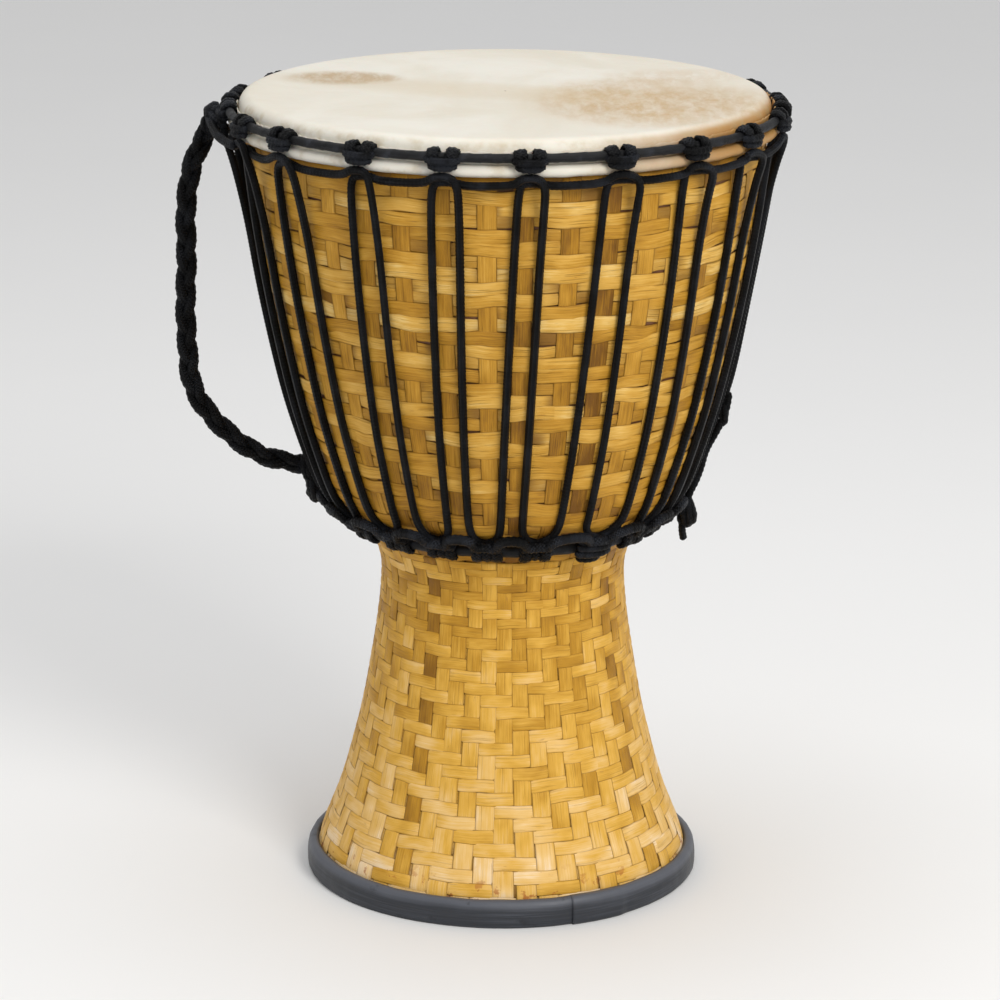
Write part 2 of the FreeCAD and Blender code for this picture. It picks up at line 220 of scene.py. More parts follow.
def bamboo_material(name, stops, grain):
    """Split bamboo: fibres along each strip, tone from strip to strip, dirt at strip edges and painted shade
    where strips dive.
    """
    n = Nodes(name)
    lay = n.attribute("lay")
    tone, edge, level = n.split(n.attribute("wear"))
    fibre = n.noise(lay, (0.035, 1.5, 3.7), 4.0, 0.6)
    fine = n.noise(lay, (0.12, 5.0, 5.3), 2.0, 0.6)
    blotch = n.noise(lay, (0.045, 0.09, 2.9), 2.0, 0.5)
    mixed = n.add(tone, n.sway(fibre, 0.75 * grain))
    mixed = n.add(mixed, n.sway(fine, 0.3 * grain))
    mixed = n.add(mixed, n.sway(blotch, 0.75))
    colour = n.ramp(mixed, stops)
    split = n.spread(n.noise(lay, (0.028, 1.15, 9.1), 1.0, 0.4), 0.66, 0.72)
    colour = n.stain(colour, split, 0.38 * grain, BAMBOO_SPLIT)
    rust = n.spread(n.noise(lay, (0.1, 0.35, 1.7), 3.0), 0.66, 0.8)
    colour = n.stain(colour, rust, 0.45, BAMBOO_RUST)
    by_the_rubber = n.spread(n.split(n.place())[2], 0.04, 0.014)
    chip = n.spread(n.noise(n.place(), 95.0, 4.0, 0.65), 0.585, 0.64)
    colour = n.stain(colour, n.mul(by_the_rubber, chip), 0.85, BAMBOO_CHIP)
    # Darker at the strip edges (dirt), and painted shade where a strip dives under its neighbours.
    dark_edge = n.spread(edge, 0.8, 1.0, 0.0, 0.5)
    deep = n.spread(n.noise(lay, (0.03, 0.02, 2.3), 1.0), 0.5, 0.66, 0.22, 0.85)
    painted_dive_shade = n.mul(n.spread(level, 0.5, 0.0), deep)
    colour = n.mix(n.math("MAXIMUM", dark_edge, painted_dive_shade), colour, BAMBOO_EDGE_DIRT_AND_SHADE)
    height = n.add(n.mul(fibre, 0.7), n.mul(fine, 0.45))
    height = n.sub(height, n.mul(split, 0.8))
    n.bump(height, 0.00045, 0.9 * grain)
    return n.finish(colour, (fibre, 0.42, 0.6), 0.22)


CORD_BLACK = (0.0018, 0.0018, 0.0021)
CORD_DUST_AND_SHEEN = (0.022, 0.025, 0.033)
CORD_CARRIERS = 4.0
CORD_BRAID = 3.2  # length of a diamond


def cord_material():
    """Braided polyester, with patchy dust and a painted sheen on the braid crests, both stronger where it
    lies level.
    """
    n = Nodes("black_cord")
    along, turn = n.split(n.attribute("lay"))[:2]
    around = n.mul(turn, CORD_CARRIERS)
    forward = n.mul(along, math.tau / CORD_BRAID)
    right = n.add(around, forward)
    left = n.sub(around, forward)
    first = n.math("ABSOLUTE", n.math("SINE", right))
    second = n.math("ABSOLUTE", n.math("SINE", left))
    over = n.spread(n.mul(n.math("COSINE", right), n.math("COSINE", left)), -0.2, 0.2)
    braid = n.add(n.mul(first, over), n.mul(second, n.sub(1.0, over)))
    thread = n.noise(n.attribute("lay"), (2.2, 5.0, 1.0), 3.0, 0.7)
    # Patchy dust and a painted sheen: bluish lightening on the braid crests, stronger on level runs, stands
    # in for the top light's highlights.
    dust_and_sheen_noise = n.noise(n.place(), 55.0, 4.0, 0.6)
    share = n.mul(n.spread(dust_and_sheen_noise, 0.42, 0.7), n.spread(braid, 0.35, 1.0))
    level = n.split(n.attribute("wear"))[0]
    share = n.mul(share, n.spread(level, 0.15, 0.85, 0.55, 1.9))
    base = n.mix(share, CORD_BLACK, CORD_DUST_AND_SHEEN)
    n.bump(n.add(braid, n.mul(thread, 0.35)), 0.0006, 1.0)
    return n.finish(base, (thread, 0.34, 0.52), 0.14)


CLOTH_BLACK = (0.0035, 0.0037, 0.0045)
CLOTH_WORN = (0.03, 0.033, 0.042)


def cloth_material():
    """Black cloth tape wound on a ring, with its weave and worn crests."""
    n = Nodes("black_wrap")
    along, turn = n.split(n.attribute("lay"))[:2]
    warp = n.math("SINE", n.mul(along, 9.0))
    weft = n.math("SINE", n.mul(turn, 27.0))
    threads = n.mul(warp, weft)
    wear = n.noise(n.place(), 90.0, 4.0, 0.65)
    crest = n.split(n.attribute("wear"))[1]
    share = n.mul(n.spread(wear, 0.45, 0.75), n.spread(crest, 0.3, 1.0, 0.3, 1.0))
    base = n.mix(share, CLOTH_BLACK, CLOTH_WORN)
    n.bump(n.add(n.mul(threads, 0.25), wear), 0.0003, 0.8)
    return n.finish(base, (wear, 0.36, 0.56), 0.25)


RUBBER_BLACK = (0.026, 0.029, 0.036)
RUBBER_DUST = (0.06, 0.066, 0.082)
RUBBER_BEVEL_HIGHLIGHT = (0.115, 0.122, 0.145)
RUBBER_SCUFF = (0.012, 0.013, 0.016)


def rubber_material():
    """Tyre rubber: dusty streaks, a painted highlight on the upper bevel and darker scuffs."""
    n = Nodes("tyre_rubber")
    where = n.place()
    broad = n.noise(where, 16.0, 4.0, 0.6)
    fine = n.noise(where, 420.0, 3.0, 0.6)
    streak = n.noise(n.attribute("lay"), (0.02, 0.9, 1.0), 4.0, 0.6)
    dusty = n.mul(n.spread(streak, 0.4, 0.72), n.spread(broad, 0.3, 0.7, 0.35, 1.0))
    base = n.mix(dusty, RUBBER_BLACK, RUBBER_DUST)
    # Painted highlight: lighter blue-grey over the top of the strip's section, where the top light catches
    # the bevel.
    height = n.split(n.attribute("lay"))[1]
    bevel = n.spread(n.add(height, n.mul(broad, 3.0)), 12.0, 17.5)
    base = n.stain(base, bevel, 0.75, RUBBER_BEVEL_HIGHLIGHT)
    scuff = n.spread(n.noise(where, 60.0, 4.0, 0.65), 0.6, 0.72, 0.0, 0.6)
    base = n.mix(scuff, base, RUBBER_SCUFF)
    n.bump(n.add(n.mul(fine, 0.4), n.mul(streak, 0.6)), 0.0003, 0.6)
    return n.finish(base, (broad, 0.36, 0.54), 0.35)


SKIN_WHITE = (0.735, 0.705, 0.63)
SKIN_CREAM = (0.665, 0.615, 0.515)
SKIN_STREAK = (0.44, 0.31, 0.17)
SKIN_TAN = (0.49, 0.33, 0.155)
SKIN_FAINT = (0.55, 0.42, 0.24)
SKIN_FAR = (0.5, 0.35, 0.19)
SKIN_GOLD = (0.4, 0.205, 0.05)
SKIN_SOIL = (0.45, 0.35, 0.19)


def skin_material():
    """Goatskin: cream-white head with a brown streak and tan patch, golden on the collar."""
    n = Nodes("goatskin")
    where = n.place()
    x, y, z = n.split(where)
    cloud = n.noise(where, 9.0, 5.0, 0.6, 0.6)
    mottle = n.noise(where, 60.0, 4.0, 0.6)
    pore = n.noise(where, 900.0, 2.0, 0.5)

    def patch(cx, cy, rx, ry, turn, low, high):
        """A soft turned oval on the head (metres), full below low and gone above high."""
        c, s = math.cos(turn), math.sin(turn)
        dx = n.sub(x, cx)
        dy = n.sub(y, cy)
        u = n.math("DIVIDE", n.add(n.mul(dx, c), n.mul(dy, s)), rx)
        v = n.math("DIVIDE", n.sub(n.mul(dy, c), n.mul(dx, s)), ry)
        away = n.add(n.mul(u, u), n.mul(v, v))
        return n.spread(n.add(away, n.sway(cloud, 1.6)), high, low)

    colour = n.mix(n.spread(cloud, 0.35, 0.7), SKIN_WHITE, SKIN_CREAM)
    hair = n.noise(where, (120.0, 42.0, 90.0), 5.0, 0.7, 0.3)
    streak = patch(-0.104, 0.043, 0.04, 0.027, -0.1, 0.3, 1.3)
    streak = n.mul(streak, n.spread(hair, 0.32, 0.62, 0.45, 1.0))
    colour = n.stain(colour, streak, 0.9, SKIN_STREAK)
    tan = patch(0.092, -0.04, 0.085, 0.08, 0.25, 0.0, 1.5)
    tan = n.mul(tan, n.spread(hair, 0.26, 0.7, 0.45, 1.0))
    colour = n.stain(colour, tan, 0.92, SKIN_TAN)
    faint = patch(-0.015, 0.0, 0.11, 0.03, -0.3, 0.0, 1.5)
    colour = n.stain(colour, faint, 0.3, SKIN_FAINT)
    far = patch(0.108, 0.056, 0.046, 0.03, 0.1, 0.0, 1.6)
    far = n.mul(far, n.spread(hair, 0.3, 0.62, 0.3, 1.0))
    colour = n.stain(colour, far, 0.4, SKIN_FAR)
    collar = n.spread(z, 0.5079, 0.504)
    side = n.spread(n.add(x, n.sway(cloud, 0.08)), 0.035, 0.135)
    colour = n.stain(colour, n.mul(collar, side), 0.95, SKIN_GOLD)
    soil = n.mul(collar, n.spread(mottle, 0.45, 0.7))
    colour = n.stain(colour, soil, 0.5, SKIN_SOIL)
    n.bump(n.add(n.mul(mottle, 0.6), n.mul(pore, 0.3)), 0.0003, 0.6)
    return n.finish(colour, (mottle, 0.46, 0.6), 0.4, Subsurface_Weight=0.05, Subsurface_Scale=0.002)


def wood_material():
    """The turned shell: reddish hardwood with rings round the axis."""
    n = Nodes("shell_wood")
    where = n.place()
    grain = n.noise(where, (60.0, 60.0, 5.0), 5.0, 0.6, 0.4)
    ring = n.noise(where, (4.0, 4.0, 95.0), 3.0, 0.5)
    both = n.add(n.mul(grain, 0.7), n.mul(ring, 0.3))
    colour = n.ramp(both, [(0.3, (0.085, 0.032, 0.014)), (0.52, (0.155, 0.062, 0.026)),
                           (0.72, (0.24, 0.115, 0.05))])
    n.bump(both, 0.0004, 0.7)
    return n.finish(colour, (grain, 0.5, 0.68), 0.4)


def steel_material():
    n = Nodes("ring_steel")
    rust = n.noise(n.place(), 160.0, 4.0, 0.6)
    colour = n.mix(n.spread(rust, 0.45, 0.65), (0.3, 0.3, 0.31), (0.16, 0.075, 0.035))
    n.bump(rust, 0.0002, 0.5)
    return n.finish(colour, (rust, 0.35, 0.8), 0.5, Metallic=0.8)


def floor_material():
    n = Nodes("floor")
    colour = n.mix(n.noise(n.place(), 3.0), (0.86, 0.86, 0.86), (0.88, 0.88, 0.88))
    return n.finish(colour, 0.7, 0.2)


# --- meshes ---

PLAIN_WEAR = np.array([0.5, 0.5, 1.0])


def unit(vectors):
    return vectors / np.maximum(np.linalg.norm(vectors, axis=-1, keepdims=True), 1e-12)


def stacked(*parts):
    """Vectors from three parts of any matching shapes."""
    return np.stack(np.broadcast_arrays(*parts), -1)


def at(angle, radius, height):
    """Points from angles (degrees from the front), radii and heights."""
    turn = np.radians(angle)
    return stacked(radius * np.sin(turn), -radius * np.cos(turn), height)


def round_angles(rows):
    return np.arange(rows) * 360.0 / rows


class Builder:
    """Collects grids of points into one mesh.

    lay: how far along and round a strip or cord a point is, and its own number.  wear: tone, edge and
    height in the weave, levelness and braid in a cord.
    """

    def __init__(self):
        self.points, self.lay, self.wear, self.faces = [], [], [], []
        self.count = 0

    def grid(self, points, lay, wear, closed_along=False, closed_round=True, capped=True):
        """points[i, j]: i runs along, j round.  Open ends of a tube get caps."""
        rows, cols = points.shape[:2]
        index = np.arange(rows * cols).reshape(rows, cols) + self.count
        down = np.concatenate([index, index[:1]]) if closed_along else index
        wide = np.concatenate([down, down[:, :1]], 1) if closed_round else down
        quads = np.stack([wide[:-1, :-1], wide[:-1, 1:], wide[1:, 1:], wide[1:, :-1]], -1)
        self.faces.extend(quads.reshape(-1, 4).tolist())
        self.count += rows * cols
        ends = (0, rows - 1) if capped and closed_round and not closed_along else ()
        for kept, values in ((self.points, points), (self.lay, lay), (self.wear, wear)):
            values = np.broadcast_to(values, points.shape)
            kept.append(values.reshape(-1, 3))
            kept.extend(values[end].mean(0)[None] for end in ends)
        for end in ends:
            loop = index[end].tolist()
            for a, b in zip(loop, loop[1:] + loop[:1]):
                self.faces.append((a, b, self.count) if end else (b, a, self.count))
            self.count += 1

    def make_cord(self, name, node):
        return self.make(name, black_cord, node)

    def make(self, name, material, node, body="drum", flip=False):
        """The mesh as a piece that stands for a CAD node."""
        mesh = bpy.data.meshes.new(name)
        points = np.concatenate(self.points) * MM
        faces = [face[::-1] for face in self.faces] if flip else self.faces
        mesh.from_pydata(points.tolist(), [], faces)
        for label, parts in (("lay", self.lay), ("wear", self.wear)):
            layer = mesh.attributes.new(label, "FLOAT_VECTOR", "POINT")
            layer.data.foreach_set("vector", np.concatenate(parts).astype(np.float32).ravel())
        mesh.polygons.foreach_set("use_smooth", [True] * len(mesh.polygons))
        mesh.update()
        mesh.materials.append(material)
        piece = added(name, mesh)
        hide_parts(node)
        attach(piece, body)
        return piece


def nurbs_line(points, resolution=12):
    """The points along an order-3 NURBS spline with these control points, in the same unit."""
    data = bpy.data.curves.new("route", "CURVE")
    data.dimensions = "3D"
    spline = data.splines.new("NURBS")
    spline.points.add(len(points) - 1)
    for spot, point in zip(spline.points, points):
        spot.co = (*[float(c) for c in point], 1.0)
    spline.order_u = 3
    spline.use_endpoint_u = True
    spline.resolution_u = resolution
    route = added("route", data)
    bpy.context.view_layer.update()
    mesh = bpy.data.meshes.new_from_object(route)
    line = np.array([v.co for v in mesh.vertices], float)
    bpy.data.objects.remove(route)
    bpy.data.curves.remove(data)
    bpy.data.meshes.remove(mesh)
    return line


def spaced(line, step):
    """The line again with its points about step apart, and how far along each is."""
    lengths = np.concatenate([[0.0], np.cumsum(np.linalg.norm(np.diff(line, axis=0), axis=1))])
    along = np.linspace(0.0, lengths[-1], max(3, int(round(lengths[-1] / step)) + 1))
    return np.stack([np.interp(along, lengths, line[:, k]) for k in range(3)], -1), along


def outward(line):
    """Away from the drum's axis at each point."""
    away = line.copy()
    away[:, 2] = 0.0
    return unit(away)


# Points round the cord, and the braid's relief, diamonds round half the cord and their length.
ROPE_BRAID = (12, 0.34, 3, 2.6)
WAIST_BRAID = (14, 0.5, 4, 3.2)
HITCH_BRAID = (16, 0.42, 4, 3.4)
CROWN_BAR_BRAID = (16, 0.4, 4, 3.2)
WAIST_BAR_BRAID = (16, 0.5, 4, 3.2)
LUMP_BRAID = (14, 0.35, 4, 3.2)
TIE_BRAID = (14, 0.42, 4, 3.2)
TAIL_BRAID = (14, 0.45, 4, 3.4)
BARE_BRAID = (14, 0.45, 5, 2.4)


def sweep(builder, line, along, out, half_side, half_out, braid, tag, square=2.0, round_ends=True):
    """A braided cord of oval section along a line.

    tag keeps its noise from repeating in the next.  A square above 2 flattens the section.
    """
    segs, relief, lobes, pitch = braid
    tangent = unit(np.gradient(line, axis=0))
    normal = unit(out - (out * tangent).sum(-1, keepdims=True) * tangent)
    side = np.cross(tangent, normal)
    turn = np.arange(segs) * math.tau / segs
    cos, sin = np.cos(turn), np.sin(turn)
    c = np.sign(cos) * np.abs(cos) ** (2.0 / square)
    s = np.sign(sin) * np.abs(sin) ** (2.0 / square)
    bumps = 0.5 * relief * (np.cos(2 * lobes * turn)[None] + np.cos(math.tau * along / pitch)[:, None])
    size = np.ones(len(line))
    if round_ends:
        reach = 0.5 * (np.mean(half_side) + np.mean(half_out))
        near = np.minimum(along, along[-1] - along) / reach
        size = np.sqrt(np.clip(1 - (1 - np.clip(near, 0.02, 1.0)) ** 2, 0.0, 1.0))
    wide = np.broadcast_to(half_side, len(line)) * size
    deep = np.broadcast_to(half_out, len(line)) * size
    points = (line[:, None]
              + side[:, None] * (wide[:, None] * c[None] + bumps * c[None])[..., None]
              + normal[:, None] * (deep[:, None] * s[None] + bumps * s[None])[..., None])
    # How level the cord lies; the cord's material paints more sheen on level runs.
    level = 1.0 - np.abs(tangent[:, 2:])
    wear = stacked(level, 0.5 + bumps / relief * 0.5, 1.0)
    builder.grid(points, stacked(along[:, None], turn[None], tag), wear)


def lay_cord(builder, points, step, half_side, half_out, braid, tag, away=None, round_ends=True):
    """A cord along the spline of some control points, facing away from the drum."""
    line, along = spaced(nurbs_line(points), step)
    out = outward(line) if away is None else np.broadcast_to(away, line.shape)
    sweep(builder, line, along, out, half_side, half_out, braid, tag, round_ends=round_ends)


def ripple(angle, seed, waves=(3, 5, 8, 13)):
    """A smooth closed wander round the drum, about -1 to 1."""
    local = np.random.RandomState(seed)
    total = np.zeros_like(np.asarray(angle, float))
    for wave in waves:
        total = total + np.sin(np.radians(angle) * wave + local.uniform(0, 6.283)) * local.uniform(0.5, 1.0)
    return total / len(waves) * 1.4


# --- the woven cover ---

COVER_STATIONS = [  # outer radius of the cover and height
    (121.5, 0), (118.3, 17), (113.4, 32), (106.6, 49), (98.4, 76), (90.2, 109), (84.2, 142),
    (79.4, 174), (77.6, 196), (78, 208), (82, 221), (87.5, 231), (94.5, 239),
    (102.5, 245.5), (110.5, 252.5), (117.2, 263), (125.6, 286), (134, 312), (142, 344),
    (148.4, 375), (154.3, 405), (160.2, 446), (162.6, 470), (163.6, 487),
]


def natural_spline(stations):
    """Heights and radii along the smooth curve through the stations."""
    points = np.array(stations)
    steps = np.linalg.norm(np.diff(points, axis=0), axis=1)
    size = len(points)
    matrix = np.zeros((size, size))
    right = np.zeros((size, 2))
    matrix[0, 0] = matrix[-1, -1] = 1.0
    for row in range(1, size - 1):
        before, after = steps[row - 1], steps[row]
        matrix[row, row - 1:row + 2] = before, 2 * (before + after), after
        right[row] = 6 * ((points[row + 1] - points[row]) / after - (points[row] - points[row - 1]) / before)
    bend = np.linalg.solve(matrix, right)
    dense = []
    for row in range(size - 1):
        share = np.linspace(0, 1, 12, endpoint=False)[:, None]
        step = steps[row]
        dense.append((1 - share) * points[row] + share * points[row + 1]
                     + step ** 2 / 6 * (((1 - share) ** 3 - (1 - share)) * bend[row]
                                        + (share ** 3 - share) * bend[row + 1]))
    dense.append(points[-1:])
    dense = np.concatenate(dense)
    return dense[:, 1], dense[:, 0]


PROFILE_Z, PROFILE_R = natural_spline(COVER_STATIONS)


def cover_radius(height):
    return np.interp(height, PROFILE_Z, PROFILE_R)


def on_cover(angle, height, lift):
    """Points on the cover, lifted off it along its own normal."""
    slope = (cover_radius(height + 1.5) - cover_radius(height - 1.5)) / 3.0
    long = np.sqrt(1 + slope ** 2)
    return at(angle, cover_radius(height) + lift / long, height - lift * slope / long)


ACROSS = np.array([-1.0, -0.9, -0.55, 0.0, 0.55, 0.9, 1.0])  # over the top of a strip
UNDERSIDE = 0.85  # width of a strip's underside, as a share of its top
STRIP_BODY = 0.35
LEVEL_FLAT = 0.72  # share of an upright strip that a level one lies flat over
LEVEL_ARCH = 0.08  # its rise over the middle of it
UPRIGHT_FLAT = 0.3
UPRIGHT_ARCH = 0.06


def strip_section(crown):
    """Round a strip's section: the crowned top, then the underside."""
    top = -crown * np.abs(ACROSS) ** 3
    across = np.concatenate([ACROSS, [UNDERSIDE, -UNDERSIDE]])
    down = np.concatenate([top, [top[-1] - STRIP_BODY] * 2])
    return across, down


def weave(builder, columns, first_angle, rows, low, high, widths, row_fill, tones, heights, crowns,
          lean, seed, uneven, dark_every, darker, phase, tone_and_shade_by_height):
    """Flat strips in a 2/2 twill: level ones round the drum, and upright ones up it.

    tones: of level strips, upright ones and their scatter.  heights: level strips over and under,
    then upright ones.  crowns: how far their edges drop.  widths, and what tone_and_shade_by_height
    adds to the tone (partly the strips' own tone, partly painted shade), are tables by height.
    """
    local = np.random.RandomState(seed)
    nudge = local.uniform(-lean, lean, columns)
    drift = local.uniform(-lean, lean, columns)
    middle = 0.5 * (rows[:-1] + rows[1:])
    tall = np.diff(rows)
    over_h, under_h, over_v, under_v = heights
    every_column, every_row = np.arange(columns), np.arange(len(middle))

    def column_angle(column, height):
        lean_here = (drift[column] - nudge[column]) * ((height - low) / (high - low))
        return first_angle + 360.0 / columns * column + nudge[column] + lean_here

    across, down = strip_section(crowns[0])
    for row in every_row:
        radius = cover_radius(middle[row])
        half = np.degrees(np.interp(middle[row], *widths) / 2 / radius)
        centre = column_angle(every_column, middle[row])
        following = np.append(centre[1:], centre[0] + 360)
        here = np.where((every_column + row + phase) % 4 < 2, over_h, under_h)
        angles = np.stack([centre - half * LEVEL_FLAT, centre, centre + half * LEVEL_FLAT,
                           0.5 * (centre + following)], 1).ravel()
        lifts = np.stack([here, here + LEVEL_ARCH * (here > 0), here,
                          0.5 * (here + np.roll(here, -1))], 1).ravel()
        wander = 0.7 * ripple(angles, seed + 31 * row) + 0.5 * ripple(angles, seed + 77 * row, (17, 23, 31))
        share = np.clip((lifts - under_h) / (over_h - under_h), 0, 1)
        half = 0.5 * tall[row] * row_fill * (0.98 + 0.1 * share) \
            * (1 + uneven * ripple(angles, seed + 53 * row, (7, 11, 19, 29)))
        height = (middle[row] + 2 * uneven * tall[row] * wander)[:, None] + half[:, None] * across[None]
        points = on_cover(angles[:, None], height, lifts[:, None] + down[None])
        along = np.radians(angles) * radius
        lay = stacked(along[:, None], across[None] * half[:, None], 11.3 * row + seed)
        tone = tones[0] + local.normal(0, tones[2]) + 0.07 * ripple(angles, seed + 91 * row, (5, 9, 14, 21))
        # Tone by height: partly the strips' own tone, partly painted shade.
        tone = tone + np.interp(middle[row], *tone_and_shade_by_height)
        wear = stacked(tone[:, None], np.abs(across)[None], share[:, None])
        start = 4 * local.randint(columns)
        order = np.append(np.arange(start, len(angles)), np.arange(start + 1))
        lay = lay[order]
        lay[len(angles) - start:, :, 0] += math.tau * radius
        builder.grid(points[order], lay, wear[order], capped=False)

    across, down = strip_section(crowns[1])
    flat = UPRIGHT_FLAT * tall
    height = np.concatenate([[low], np.stack([middle - flat, middle, middle + flat], 1).ravel(), [high]])
    for column in every_column:
        here = np.where((column + every_row + phase) % 4 < 2, under_v, over_v)
        lifts = np.stack([here, here + UPRIGHT_ARCH * (here > 0), here], 1).ravel()
        lifts = np.concatenate([[under_v], lifts, [under_v]])
        width = np.interp(height, *widths) * (1 + local.uniform(-0.07, 0.07))
        spread = np.degrees(width / 2 / cover_radius(height))
        angle = column_angle(column, height)[:, None] + spread[:, None] * across[None]
        points = on_cover(angle, height[:, None], lifts[:, None] + down[None])
        share = np.clip((lifts - under_v) / (over_v - under_v), 0, 1)
        lay = stacked(height[:, None], across[None] * width[:, None] / 2, 7.7 * column + seed + 400.0)
        tone = tones[1] + local.normal(0, tones[2]) + 0.06 * np.sin(height * 0.09 + column * 2.1)
        if column % dark_every == 0:
            tone = tone - darker
        # Tone by height: partly the strips' own tone, partly painted shade.
        tone = tone + np.interp(height, *tone_and_shade_by_height)
        wear = stacked(tone[:, None], np.abs(across)[None], share[:, None])
        builder.grid(points[:, ::-1], lay[:, ::-1], wear[:, ::-1])


FOOT_START = 2.0  # lower edge of the foot's cover
WEAVE_JOINT = 226.0  # where the bowl's cover takes over
COVER_TOP = 486.0
BOWL_ROWS = 32


def foot_rows():
    """Row edges of the foot's weave: fine at the neck, coarser down the flare."""
    edges, height = [FOOT_START], FOOT_START
    while height < WEAVE_JOINT:
        height += np.interp(height, [0, 60, 120, 165, 190, 226], [7.9, 7.8, 7.5, 7.1, 5.8, 5.0])
        edges.append(height)
    edges = np.array(edges)
    return FOOT_START + (edges - FOOT_START) * (WEAVE_JOINT - FOOT_START) / (edges[-1] - FOOT_START)


def make_covers():
    """The bowl's basket weave and the foot's finer, flatter twill."""
    bowl = Builder()
    rows = np.linspace(WEAVE_JOINT, COVER_TOP, BOWL_ROWS + 1)
    rows[1:-1] += rng.uniform(-0.55, 0.55, BOWL_ROWS - 1)
    # The bowl's tone by height darkens it towards the waist and near the crown: partly its own tone, partly
    # painted shade.
    weave(bowl, columns=40, first_angle=4.5, rows=rows, low=WEAVE_JOINT, high=COVER_TOP,
          widths=([226, 300, 480], [8.2, 10.4, 11.8]), row_fill=1.05,
          tones=(0.62, 0.42, 0.14), heights=(0.5, -0.42, 0.02, -0.66), crowns=(0.68, 0.28),
          lean=0.9, seed=5, uneven=0.12, dark_every=10, darker=0.22, phase=3,
          tone_and_shade_by_height=([226, 310, 420, 486], [-0.24, -0.06, 0.0, -0.05]))
    bowl.make("bowl_weave", bamboo_material("bowl_bamboo", BOWL_TONES, 1.0), "bowl_cover")
    foot = Builder()
    # The foot's tone by height is paler near the rubber (its own paling) and darker up at the neck (painted
    # shade from the bowl above).
    weave(foot, columns=52, first_angle=1.0, rows=foot_rows(), low=FOOT_START, high=WEAVE_JOINT,
          widths=([0, 17, 60, 140, 196, 226], [13.9, 13.5, 12.3, 10.4, 9.2, 9.6]),
          row_fill=1.0, tones=(0.55, 0.52, 0.1), heights=(0.36, -0.42, 0.3, -0.5),
          crowns=(0.42, 0.38), lean=0.5, seed=9, uneven=0.05, dark_every=13, darker=0.15, phase=0,
          tone_and_shade_by_height=([0, 25, 90, 226], [0.3, 0.2, 0.02, -0.16]))
    foot.make("foot_weave", bamboo_material("foot_bamboo", FOOT_TONES, 0.65), "foot_cover")


# --- laced cords ---

CORD = 4.8
ROPE_GAP = 0.6  # what the taut cord stands off the weave
KNOTS = 20
PITCH = 360.0 / KNOTS
FIRST_KNOT = 5.2
# Rightwards from the first knot: its drift, and the angles of the two cords under it, high and low.
KNOT_DRIFT = [-0.3, 0, -0.3, -0.7, 0.4, 0, -0.5, 0.6, 0.2, -0.8,
              0.3, 0.7, -0.4, 0.0, 0.5, -0.6, -0.4, -1.8, 1.2, 0.7]
LEFT_TOP = [-2.6, -2.6, -1.9, -1.4, -2.6, -3, -3.8, -2.7, -2.8, -4,
            -3.0, -2.4, -3.5, -3.0, -2.6, -3.7, -4.2, -6.2, -2.4, -2.3]
RIGHT_TOP = [2.7, 4.3, 4.6, 5.2, 3.8, 3.4, 2.6, 3.7, 3.6, 2.3,
             3.4, 4.0, 2.9, 3.4, 3.8, 2.7, 2.6, 1.9, 3.5, 3.7]
LEFT_LOW = [-5.8, -6, -2, -2.7, -3.6, -4, -3.3, -4.3, -3.1, -3.4,
            -4.2, -3.2, -3.5, -4.1, -3.0, -3.3, -3.4, -4.0, -3.4, -3.7]
RIGHT_LOW = [0.5, 2.8, 6.6, 5.6, 3.9, 3.2, 3.9, 2.9, 4.1, 3.8,
             3.0, 4.0, 3.7, 3.1, 4.2, 3.9, 3.8, 4.1, 4.1, 2.6]
DRIFT_LOW, DRIFT_TOP = 262.0, 472.0
RUN_HEIGHTS = [264, 290, 320, 354, 392, 432]
CROWN_RING = (171.5, 498.2)
LOWER_RING = (98.0, 238.0)


def knot_angle(index):
    return FIRST_KNOT + PITCH * index + KNOT_DRIFT[index % KNOTS]


def cord_angle(index, side, height):
    """Angle of the left (-1) or right (+1) cord of a pair at a height."""
    at_top = (LEFT_TOP if side < 0 else RIGHT_TOP)[index % KNOTS]
    at_low = (LEFT_LOW if side < 0 else RIGHT_LOW)[index % KNOTS]
    share = (height - DRIFT_LOW) / (DRIFT_TOP - DRIFT_LOW)
    return FIRST_KNOT + PITCH * index + at_low + (at_top - at_low) * share


def waist_angle(index):
    return 0.5 * (cord_angle(index, 1, 250.0) + cord_angle(index + 1, -1, 250.0))


def run_points(index, side):
    """A run of the tuning cord, up from the middle of its turn at the waist."""
    turn = waist_angle(index if side > 0 else index - 1)
    return [
        at(turn, 108.8, 246.2), at(turn - 3.2 * side, 109.9, 247.3),
        at(cord_angle(index, side, 255.0) + 0.3 * side, 114.8, 254.2),
    ] + [at(cord_angle(index, side, h), cover_radius(h) + CORD / 2 + ROPE_GAP, h) for h in RUN_HEIGHTS]


def rope_span(index):
    """The tuning cord from a waist turn, up one pair, along the crown and down the next pair."""
    nxt = index + 1
    left = cord_angle(index, -1, 472.0)
    right = cord_angle(nxt, 1, 472.0)
    knot = knot_angle(index)
    far_knot = knot_angle(nxt)
    return run_points(index, -1) + [
        at(left, 166.3, 468.5), at(left + 0.4, 167.4, 479.0),
        at(knot - 1.5, 169.0, 482.9), at(knot + 1.9, 169.3, 482.9),
        at(cord_angle(index, 1, 472.0) + 1.2, 171.2, 481.4),
        at(0.5 * (knot + far_knot), 172.5, 481.7),
        at(cord_angle(nxt, -1, 472.0) - 0.6, 172.7, 482.3),
        at(far_knot - 1.7, 174.6, 486.9), at(far_knot + 1.6, 174.9, 487.1),
        at(right, 174.6, 481.6), at(right, 169.4, 466.5),
    ] + run_points(nxt, 1)[::-1]


